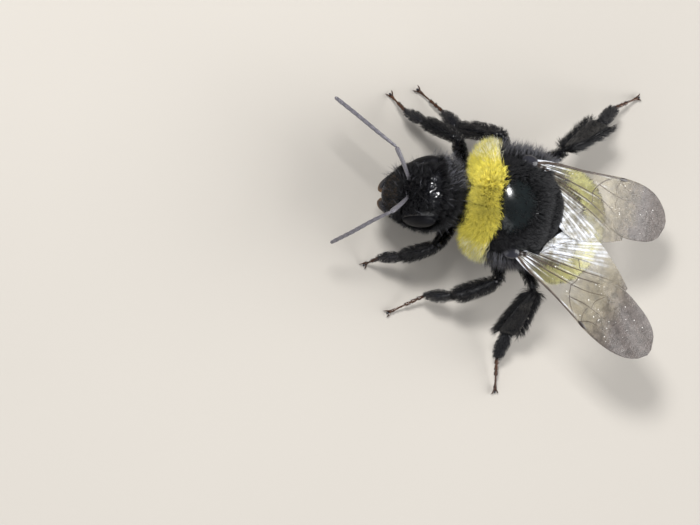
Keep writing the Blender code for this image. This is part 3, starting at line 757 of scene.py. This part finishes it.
# Veins as (out, back) places, with the thickness at each end: the thick ones first, then those
# round the closed cells.
FORE_VEINS = (
    (0.11, 0.075, ((-0.3, -0.05), (0.9, -0.36), (2.6, -0.51), (4.0, -0.71), (5.5, -0.93))),
    (0.06, 0.045, ((0.1, 0.1), (1.2, 0.2), (2.4, 0.36), (3.5, 0.5))),
    (0.05, 0.04, ((0.1, 0.2), (1.4, 0.52), (2.8, 0.84), (4.0, 1.2), (5.2, 1.66))),
    (0.045, 0.035, ((5.5, -0.94), (6.6, -1.02), (7.8, -0.99), (8.55, -0.86))),
    (0.04, 0.035, ((5.2, -0.86), (5.75, -0.5), (6.8, -0.36), (7.9, -0.5), (8.55, -0.86))),
    (0.045, 0.035, ((3.5, 0.5), (3.75, 0.0), (4.2, -0.45), (4.75, -0.78))),
    (0.04, 0.03, ((3.5, 0.5), (4.6, 0.78), (5.7, 1.25))),
    (0.04, 0.03, ((3.82, -0.1), (4.8, 0.1), (6.0, 0.16), (7.55, 0.12))),
    (0.035, 0.03, ((5.3, -0.78), (5.1, -0.3), (5.15, 0.12))),
    (0.035, 0.03, ((6.15, -0.42), (6.05, -0.1), (6.2, 0.16))),
    (0.035, 0.03, ((7.5, -0.42), (7.72, -0.12), (7.55, 0.12))),
    (0.035, 0.03, ((5.35, 0.13), (5.3, 0.6), (5.7, 1.25))),
    (0.035, 0.025, ((7.05, 0.15), (7.2, 0.55), (7.1, 0.95), (5.45, 0.9))),
    (0.035, 0.03, ((3.5, 0.5), (3.62, 0.8), (3.6, 1.08))),
)
HIND_VEINS = (
    (0.05, 0.035, ((0.95, 0.7), (2.0, 1.0), (3.4, 1.42), (4.6, 1.85), (5.6, 2.2))),
    (0.04, 0.03, ((0.95, 0.85), (1.9, 1.4), (3.0, 1.9), (3.9, 2.2))),
    (0.035, 0.03, ((3.0, 1.9), (3.3, 1.6), (3.5, 1.46))),
    (0.035, 0.025, ((0.95, 0.95), (1.6, 1.9), (2.3, 2.7))),
)
KNOBS = (((-0.35, -0.25, -0.05), 0.2), ((-0.05, -0.1, 0.03), 0.17),  # about a wing's root
         ((0.3, -0.12, -0.02), 0.13), ((0.1, -0.3, -0.12), 0.18))
SPECKS = 34  # pale specks on each forewing


def wing_frame(word):
    """The wing's root, its ways out, back and up, and how far its middle arches up."""
    root, tip, back = map(array, WINGS[word][:3])
    out = unit(tip - root)
    back = square_to(back, out)
    up = cross(out, back)
    return root, out, back, up if up[2] > 0 else -up, WINGS[word][3]


def on_wing(wing, u, v, film=0.0):
    """Places on the arched wing; folds fan out from the root and soften outwards."""
    root, out, back, up, arch = wing
    u, v = np.broadcast_arrays(np.asarray(u, float), np.asarray(v, float))
    fan, near = v / (u + 1.6), bell(u, 4.2)
    folds = 0.035 * sin(fan * 34 + 0.4 * u) + 0.014 * sin(fan * 83 + 1.1 * u)
    lift = (arch * sin(np.pi * np.minimum(u / WING_LENGTH, 1)) - 0.02 * v ** 2
        + folds * near * clamp(u / 0.8) + 0.03 * sin(1.7 * u + 2.1 * v) * sin(2.6 * v + 0.6)
        * (1 - near) + film)
    return root + u[..., None] * out + v[..., None] * back + lift[..., None] * up


def glare_on_creases(u, v, front_glare):
    """How strong the glare painted on the creases that fan out from the root is: a painted
    reflection, most behind, none far out.
    """
    fan = v / (u + 1.6)
    crease = (0.5 * sin(58 * fan + 0.5 * u) + 0.6 * sin(131 * fan - 0.7 * u + 1)
        + 0.3 * sin(1.9 * u + 12 * fan))
    behind = clamp((fan - 0.22) / 0.2)
    shine = (0.75 * crease + 0.95 * behind + 1.3 * bell(u + 0.2, 1.4)
        + front_glare * bell(fan + 0.15, 0.05) - 0.45 + 0.35
        * within(hypot((u - 1.6) / 1.3, (v - 2.6) / 0.8), 0.3))
    faint_glare = 0.42 * behind + 0.15 * bell(u, 2)
    return clamp(maximum(shine, faint_glare)) * within(abs(u - 1.7) / 2.7, 0.2)


def film_piece(kind, word, u, front, rear, columns, front_glare):
    """A thin closed film between a front and a rear edge."""
    wing = wing_frame(word)
    v = front[:, None] + (rear - front)[:, None] * linspace(0, 1, columns)
    u = np.broadcast_to(u[:, None], v.shape)
    top, bottom = (on_wing(wing, u, v, side * FILM / 2) for side in (1, -1))
    rings = concatenate((top, bottom[:, ::-1]), axis=1)
    mesh = join_shells(kind + "_film_" + word, [Shell(rings)], "film", kind + "_" + word)
    # Red holds the reach along the wing, green the painted glare.
    there = stack((u / WING_LENGTH, glare_on_creases(u, v, front_glare), 0 * u), axis=-1)
    both = concatenate((there, there[:, ::-1]), axis=1)
    paint(mesh, both.reshape(-1, 3), name="reach")


def veins(name, wing, table):
    """Tapering veins that stand proud of the film on both sides."""
    shells = []
    for thick, thin, points in table:
        u, v = path_through(points, 8 * len(points)).T
        share = linspace(0, 1, len(u))
        size = (0.72 * (thick + (thin - thick) * share) * np.clip(8 * (1.02 - share), 0.3, 1)
            * np.clip(1.15 - u / 16, 0.6, 1))
        rings = limb(on_wing(wing, u, v), size, size * 0.62, wing[3], 8)
        shells.append(Shell(rings, VEIN_BROWN))
    join_shells(name, shells, "vein")


def stigma(wing):
    """The dark thickening on the front edge where the long cell begins."""
    u = linspace(0, 1, 12)
    size = 0.11 * sin(np.pi * np.clip(u, 0.06, 0.94)) ** 0.7
    return Shell(limb(on_wing(wing, 5.1 + 0.75 * u, -0.86 - 0.1 * u), size, size * 0.4, wing[3],
        12), STIGMA_BROWN)


def wings():
    for word, side in SIDES.items():
        wing = wing_frame(word)
        start, end = FOREWING_FRONT[0][0], FOREWING_FRONT[-1][0]
        u = start + (end - start) * sin(np.pi / 2 * linspace(0, 1, 120))
        film_piece("forewing", word, u, curve(FOREWING_FRONT, u), curve(FOREWING_REAR, u), 56,
            WINGS[word][4])
        u = linspace(HINDWING_OUT[0], HINDWING_OUT[-1], 90)
        film_piece("hindwing", word, u, curve(FOREWING_REAR, u) + 0.01,
            curve(list(zip(HINDWING_OUT, HINDWING_REAR[word])), u), 44, 0.5)
        veins("forewing_veins_" + word, wing, FORE_VEINS)
        veins("hindwing_veins_" + word, wing, HIND_VEINS)
        specks = []
        for u, share in SPECK_CHANCE.random((SPECKS, 2)):
            u = 2 + 7.4 * u
            front, rear = curve(FOREWING_FRONT, u), curve(FOREWING_REAR, u)
            v = front + (0.1 + 0.8 * share) * (rear - front)
            size = (0.016 + 0.024 * SPECK_CHANCE.random() ** 2) * vec(1, 0.8, 0.6)
            specks.append(Shell(egg(on_wing(wing, u, v, FILM), wing[1:4], size, 6, 8), SPECK))
        join_shells("wing_specks_" + word, specks, "vein")
        knobs = [Shell(egg(wing[0] + vec(*shift) * (1, side, 1), np.eye(3), size * vec(1.5, 1, 0.8),
            14, 16), HINGE_BROWN) for shift, size in KNOBS]
        join_shells("wing_hinge_" + word, [stigma(wing), *knobs], "vein")


def tegulae():
    for word, side in SIDES.items():
        rings = egg(vec(-0.25, side * 2.6, 1.24), axes_of(X, Z + Y * (side * 0.45)),
            (0.5, 0.38, 0.24), 30, 36, 2.2)
        join_shells("wing_scale_" + word, [Shell(rings, BLACK * 3)], "cuticle", "tegula_" + word)


# ---- coat
HAIRS_PER_TUFT = 14
ROOT_DEPTH = 0.04  # how deep the roots stand in the skin
PATCH = 0.003  # breadth of each hair's patch on the unwrap
SLIVER = (2, 1, 0), (0, 1, 4, 3), (1, 2, 5, 4), (2, 0, 3, 5), (3, 4, 6), (4, 5, 6), (5, 3, 6)


def grow(shell, count, colours, length, width, lift, jitter, clump, weight=None, flow=None,
        band=(0, 1)):
    """Hairs scattered on a shell: roots, middles, tips, widths, places on the unwrap and colours.

    Lift is the angle off the skin at root and tip, in degrees; flow is the way the hairs lie in,
    None for the way along the rings; band is the shell's start and height on the unwrap. Colours,
    length, lift, weight and flow may be functions of the spots.
    """
    root, normal, along, unwrap = shell.sample(count, weight)
    colours, length, flow, *lift = (value(Spots(root, normal)) if callable(value) else value
        for value in (colours, length, flow, *lift))
    lie = square_to(along if flow is None else flow, normal)
    start, finish = (unit(lie * cos(angle)[..., None] + normal * sin(angle)[..., None]
        + CHANCE.normal(0, spread, root.shape)) for angle, spread in zip(map(np.radians, lift),
        (jitter, jitter * 1.3)))
    reach = (length * CHANCE.uniform(0.72, 1.12, count))[:, None]
    middle = root + start * reach * 0.5
    tip = middle + finish * reach * 0.5
    guides = max(count // HAIRS_PER_TUFT, 1)
    tree = KDTree(guides)
    for i in range(guides):
        tree.insert(root[i], i)
    tree.balance()
    nearest = array([tree.find(place)[1] for place in root])
    pull = (clump * CHANCE.uniform(0.5, 1.2, count))[:, None]
    tip = tip + (tip[nearest] - tip) * pull
    middle = middle + (middle[nearest] - middle) * pull * 0.4
    tone = CHANCE.normal(1, 0.1, (count, 1)) * (0.8 + 0.35 * CHANCE.random((guides, 1)))[nearest]
    return (root - normal * ROOT_DEPTH, middle, tip, np.full((count, 1, 1), width),
        (0, band[0]) + unwrap * (1, band[1]), colours[0] * tone, colours[1] * tone)


def coat(name, *patches, look="hair_black"):
    """One piece of hair, each a closed sliver of seven points, with its OFBake map."""
    root, middle, tip, width, place, dark, light = map(
        concatenate, zip(*(grow(*patch) for patch in patches)))
    way = unit(tip - root)
    across = unit(cross(way, unit(CHANCE.normal(0, 1, root.shape))))
    corner = np.radians((0, 120, 240))[:, None]
    spread = width / 2 * (across[:, None] * cos(corner)
                          + cross(way, across)[:, None] * sin(corner))
    points = concatenate((root[:, None] + spread, middle[:, None] + spread * 0.8, tip[:, None]), 1)
    corners = concatenate(SLIVER)
    starts = np.cumsum([0] + [len(face) for face in SLIVER[:-1]])
    hair = np.arange(len(root))[:, None]
    mesh = bpy.data.meshes.new(name)
    mesh.vertices.add(hair.size * 7)
    mesh.vertices.foreach_set("co", to_frame(points).ravel())
    mesh.loops.add(hair.size * corners.size)
    mesh.loops.foreach_set("vertex_index", (hair * 7 + corners).ravel())
    mesh.polygons.add(hair.size * starts.size)
    mesh.polygons.foreach_set("loop_start", (hair * corners.size + starts).ravel())
    mesh.update(calc_edges=True)
    patch = PATCH / 2 * array(((-1, -1), (0, -1), (1, -1), (-1, 0), (0, 0), (1, 0), (0, 1)))
    unwrap = 0.5 + (place[:, None] - 0.5) * (1 - PATCH * 2) + patch[corners]
    mesh.uv_layers.new(name="OFBake").data.foreach_set("uv", unwrap.ravel())
    # The root end is painted darker than the tip: painted shade deep in the coat.
    shade = stack([dark] * 3 + [(dark + light) / 2] * 3 + [light], axis=1)
    paint(mesh, clamp(shade).reshape(-1, 3))
    add_piece(name, mesh, LOOKS[look], look)


def thorax_coat(shell):
    """The yellow collar, then the black coat of the top and of the flanks."""
    partings = (0.6, -0.3)

    def collar_flow(at):
        end = clamp((abs(at.y) - 1.2) / 1.1)
        rear = np.clip((at.x + 0.64 * at.z + 1.75) * 1.1, -1, 1) * (1 - 0.5 * end) - 0.4 * end
        apart = [at.y - middle for middle in partings]
        parted = sum(0.07 * np.sign(away) * bell(away, 0.1) for away in apart)
        return stack((rear * 0.9, (at.y / 2.4) ** 3 + parted, 0.2 - 0.2 * end), -1)

    def collar_colours(at):
        y, z = at.y[:, None], at.z[:, None]
        # Paler tips at the collar's ends, more so higher up: partly pale hair, partly painted
        # highlight.
        pale = clamp((abs(y) - 1.95) / 0.5) * 0.7 * clamp(z * 0.8 + 0.3)
        # Darker along the two partings, painted shade where the hair parts, and darker across the
        # middle.
        darkening = (1 - sum(0.18 * bell(y - middle, 0.08) for middle in partings)
            - 0.22 * bell(y + 0.35, 1.1))
        return LEMON[0] * darkening, (LEMON[1] * (1 - pale) + PALE_AND_LIT_TIP * pale) * darkening

    def collar_length(at):
        corner = (clamp((abs(at.y) - 1.3) / 0.9) * clamp(-at.x - 0.9)
            * np.where(at.y > 0, 0.3 * abs(at.normal[:, 1]), 0.32))
        breast = bell(at.y + 0.25, 0.9) * clamp((-at.x - 1.1) / 0.5)
        return 0.93 + 0.1 * clamp(abs(at.y) - 1.4) + corner + 0.26 * breast

    coat("coat_collar",
         (shell, 16800, collar_colours, collar_length, 0.04,
          (lambda at: 74 + 6 * (abs(at.y) > 1.6), lambda at: 52 + 16 * (abs(at.y) > 1.6)),
          0.13, 0.42, lambda at: at.collar * (1 + 0.7 * bell(at.y + 0.3, 0.9) * (at.z > 0)),
          collar_flow),
         (shell, 1400, collar_colours, lambda at: collar_length(at) + 0.15, 0.03, (68, 44), 0.2,
          0.2, lambda at: at.collar, collar_flow),
         # A fringe at the ends with whitish tips: partly pale hair, partly painted highlight.
         (shell, 1000, (LEMON[0], WHITE_AND_LIT_TIP), lambda at: collar_length(at) + 0.12, 0.034, (80, 74),
          0.3, 0.5, lambda at: at.collar * (abs(at.y) > 1.9) * (at.z > -0.3), collar_flow),
         look="hair_yellow")

    def bald(at):
        return within(hypot((at.x + 0.85) / 1.1, at.y / 1.6), 0.2) * (at.z > 0)

    def black(at):
        """Behind the collar and clear of the wings' roots."""
        gap = sqrt(((at.x - 0.1) / 0.75) ** 2 + ((abs(at.y) - 2.4) / 0.7) ** 2
            + ((at.z - 1.25) / 0.5) ** 2)
        return (1 - at.collar) * (1 - within(gap, 0.15))

    coat("coat_thorax_top",
         (shell, 13000, SOOT, lambda at: 0.6 - 0.42 * bald(at) - 0.28 * (at.x > 0.9), 0.032,
          (60, 34), 0.16, 0.4, lambda at: at.top * (1 - 0.97 * bald(at)) * black(at),
          X + Z * 0.3))

    def flank(at):
        return black(at) * (1 - at.top)

    def flank_flow(at):
        return X * 0.6 - Z * 0.6 + Y * np.sign(at.y[:, None])

    def flank_length(at):
        return 0.55 + (clamp(abs(at.normal[:, 1]) * 1.3 - 0.2) * np.where(at.y < 0, 1.05, 0.6)
            * (at.z > -1.2))

    coat("coat_thorax_flanks",
         (shell, 16800, SOOT, flank_length, 0.032, (62, 38), 0.2, 0.4, flank, flank_flow),
         # Long wisps with light grey tips: a painted highlight where light catches them.
         (shell, 1900, (SOOT[0], SOOT[1] * 11), 1.4, 0.03, (74, 60), 0.24, 0.3,
          lambda at: flank(at) * (at.z > -0.2) * (abs(at.y) > 1.4), flank_flow))


def abdomen_coat(shells):
    def above(at):
        return np.clip(at.normal[..., 2] * 1.6 + 0.75, 0.12, 1)

    for number, name, look, colours, count, length, width in (
            (1, "coat_belt", "hair_yellow", LIT_BELT, 15000, 0.8, 0.034),
            (3, "coat_tail_fore", "hair_white", CREAM, 8500, 0.72, 0.034),
            (4, "coat_tail_aft", "hair_white", CREAM, 6500, 0.62, 0.032)):
        coat(name, (shells[number], count, colours, length, width, (52, 26), 0.13, 0.4, above),
             look=look)
    coat("coat_abdomen_black",
         (shells[0], 4500, SOOT, 0.62, 0.032, (70, 50), 0.2, 0.4,
          lambda at: np.clip(at.normal[..., 2] * 1.6 + 0.9, 0.12, 1), None, (0, 0.3)),
         (shells[2], 10500, SOOT, 0.68, 0.032, (50, 26), 0.14, 0.4, above, None, (0.35, 0.35)),
         (shells[5], 2600, (SOOT[0], SOOT[1] * 1.4), 0.3, 0.024, (40, 18), 0.16, 0.3, None, None,
          (0.75, 0.25)))
    coat("coat_belly", *(
        (shells[number], 1400, SOOT if number < 3 else (SOOT[1], CREAM[0] * 0.6), 0.42, 0.026,
         (40, 20), 0.16, 0.3, lambda at: clamp(-at.normal[..., 2] * 2), None, (number * 0.2, 0.2))
        for number in range(1, 5)))


def head_coat(shell, neck):
    """Long on the vertex and cheeks, short on the frons, and thin on the clypeus."""
    def weight(at):
        eye = hypot((at.up - 0.12) / 1.32, (at.forward - 0.3) / 0.66)
        keep = (1 - within(eye, 0.08) * (abs(at.side) > 1.35)) * (at.up > -1.9)
        thin = [(0.97, away / 0.26) for away in from_ocelli(at.side, at.up)] + [
            (1, from_socket(at.side, at.up)),
            (0.45, hypot(at.side / 0.62, (at.up + 1.2) / 0.55)),
            (0.92, hypot((at.side + 0.2) / 1.2, (at.up - 1.42) / 0.38))]
        for share, distance in thin:
            keep = keep * (1 - share * within(distance, 0.2) * (at.forward > 0))
        return keep

    def length(at):
        clypeus = within(hypot(at.side / 0.9, (at.up + 1.2) / 0.75), 0.2) * (at.forward > 0)
        return 0.44 + 0.2 * clamp(at.up - 0.6) + 0.42 * clamp(-at.forward) - 0.22 * clypeus

    def flow(at):
        side, up = at.side[:, None], at.up[:, None]
        return RIGHT * (side * 0.5) + CROWN * (up * 0.5 + 0.35) + FACE * 0.4

    coat("coat_head",
         (shell, 14200, SOOT, length, 0.028, (62, 44), 0.2, 0.5, weight, flow),
         # Longer wisps with light grey tips, mostly behind and on the right: a painted highlight
         # where light catches them.
         (shell, 800, (SOOT[0], SOOT[1] * 13), lambda at: length(at) + 0.5, 0.024, (68, 54), 0.26,
          0.2, lambda at: weight(at) * (0.1 + (at.forward < 0.3) * (at.side > 0)), flow),
         (shell, 600, (SOOT[1], BROWN_TIP), 0.26, 0.02, (62, 44), 0.3, 0.2,
          lambda at: weight(at) * (at.up < -0.7) * (at.forward > 0), flow),
         (neck, 3600, SOOT, 0.75, 0.028, (70, 64), 0.25, 0.4, None, -X))


LEG_HAIRS = {  # how many, and how long
    "coxa": (500, 0.45), "trochanter": (120, 0.3), "femur": (900, 0.38), "tibia": (1200, 0.4),
    "foot": (800, 0.26), "toe_0": (60, 0.1), "toe_1": (60, 0.1), "toe_2": (60, 0.1),
    "toe_3": (60, 0.09),
}


def leg_coat(pair):
    """Short bristles down each leg, a brush under the foot and a fringe round the hind shin."""
    parts = [(place, name) for place in LEG_SHELLS if place.startswith(pair) for name in LEG_HAIRS]
    patches = []
    for row, (place, name) in enumerate(parts):
        out, band = outward(place), (row / len(parts), 1 / len(parts))
        count, length = LEG_HAIRS[name]
        hairs = [(count, SOOT, length, 0.024, (50, 26), 0.18, 0.3, None)]
        if name.startswith(("foot", "toe")):
            count = 1300 if (pair, name) == ("hind", "foot") else count
            hairs = [(count, (SOOT[0], SOOT[1] * 2.5), length, 0.017, (50, 26), 0.18, 0.3, None)]
        elif (pair, name) == ("hind", "tibia"):
            hairs = [(1300, SOOT, 0.8, 0.026, (38, 30), 0.1, 0.2,
                      lambda at, out=out: bell(at.normal @ out, 0.3)),
                     (700, SOOT, 0.22, 0.02, (40, 20), 0.15, 0.3,
                      lambda at, out=out: at.normal @ out < -0.3),
                     (260, SOOT, 0.5, 0.02, (30, 14), 0.2, 0.3,
                      lambda at, out=out: at.normal @ out > 0.3)]
        patches += [(LEG_SHELLS[place][name], *hair, None, band) for hair in hairs]
    coat("coat_legs_" + pair, *patches)


# ---- studio
CAMERA_LEAN, CAMERA_TURN = np.radians((22, 11.5))
CAMERA_DISTANCE, CAMERA_LENS = 655.4, 600
TARGET_RIGHT, TARGET_UP = -9.33, -3.17  # from the thorax, as the camera sees it
LAMPS = {  # way from the thorax, distance, breadth and power
    "key": ((-0.47, 0.35, 0.81), 170, 30, 0.29),
    "back": ((0.85, 0.05, 0.48), 300, 300, 1.4),
    "side": ((-0.45, -0.75, 0.5), 300, 260, 0.3),
}
SKY_COLOUR, SKY_STRENGTH = (0.93, 0.95, 1.0, 1), 0.27
FLOOR_COLOUR, FLOOR_REACH = (0.45, 0.42, 0.378, 1), 1.5


def camera():
    """Looks down on the back from a little ahead, at the slant of the bee on its nest."""
    tail = vec(cos(CAMERA_LEAN), 0, sin(CAMERA_LEAN))
    right = tail * cos(CAMERA_TURN) + Y * sin(CAMERA_TURN)
    up = Y * cos(CAMERA_TURN) - tail * sin(CAMERA_TURN)
    toward = cross(right, up)
    place = (right * TARGET_RIGHT + up * TARGET_UP + toward * CAMERA_DISTANCE + CENTRE) * MM
    data = bpy.data.cameras.new("camera")
    data.lens, data.sensor_width = CAMERA_LENS, 36
    data.clip_start, data.clip_end = 0.01, 5
    holder = add_object("camera", data)
    holder.matrix_world = Matrix(np.column_stack((right, up, toward, place)).tolist()
        + [[0, 0, 0, 1]])
    bpy.context.scene.camera = holder


def studio():
    """The camera, square soft lamps, a pale sky and a plain floor."""
    camera()
    for name, (way, distance, size, power) in LAMPS.items():
        data = bpy.data.lights.new(name, "AREA")
        data.size, data.energy = size * MM, power
        holder = add_object(name, data)
        way = Vector(way).normalized()
        holder.location = Vector(CENTRE * MM) + way * distance * MM
        holder.rotation_euler = way.to_track_quat("Z", "Y").to_euler()
    world = bpy.data.worlds.new("studio")
    bpy.context.scene.world = world
    world.use_nodes = True
    sky = world.node_tree.nodes["Background"].inputs
    sky["Color"].default_value, sky["Strength"].default_value = SKY_COLOUR, SKY_STRENGTH
    mesh = bpy.data.meshes.new("floor")
    mesh.from_pydata([(x * FLOOR_REACH, y * FLOOR_REACH, 0) for x, y in
                      ((-1, -1), (1, -1), (1, 1), (-1, 1))], [], [(0, 1, 2, 3)])
    finish = Finish("floor", Roughness=0.7)
    finish.shade(Base_Color=finish.mottled(FLOOR_COLOUR, finish.noise(40), 0.98, 1.02))
    mesh.materials.append(finish.material)
    floor = add_object("floor", mesh)
    bpy.context.scene.view_settings.view_transform = "Standard"


# ---- the bee
studio()
HEAD, THORAX, TERGITES = head_shell(), thorax_shell(), tergites()
LEG_SHELLS = {place: leg_shells(place) for place in LEGS}
NECK = link(on_head(0, -0.5, -0.1), vec(-1.6, 0, -0.35), 0.85, 1.1)
WAIST = link(vec(1.6, 0, -1.1), ABDOMEN_START + vec(0.5, 0, -0.4), 0.6, 0.6)
join_shells("skin", [HEAD, THORAX, NECK, WAIST, *mouth_shells(), *TERGITES,
                     *(shell for shells in LEG_SHELLS.values() for shell in shells.values())],
            "cuticle", "head", "neck", "thorax", "waist",
            *("abdomen_%d" % number for number in range(1, 7)),
            *("%s_%s" % (part, place) for place in LEGS
              for part in ("coxa", "femur", "tibia", "tarsus")))
for make in (eyes, ocelli, jaws, feelers, tegulae, wings):
    make()
join_shells("claws_and_spurs", [shell for place in LEGS for shell in thorns(place)], "cuticle",
            slot="tarsus")
thorax_coat(THORAX)
abdomen_coat(TERGITES)
head_coat(HEAD, NECK)
for pair in LEG_SIZES:
    leg_coat(pair)
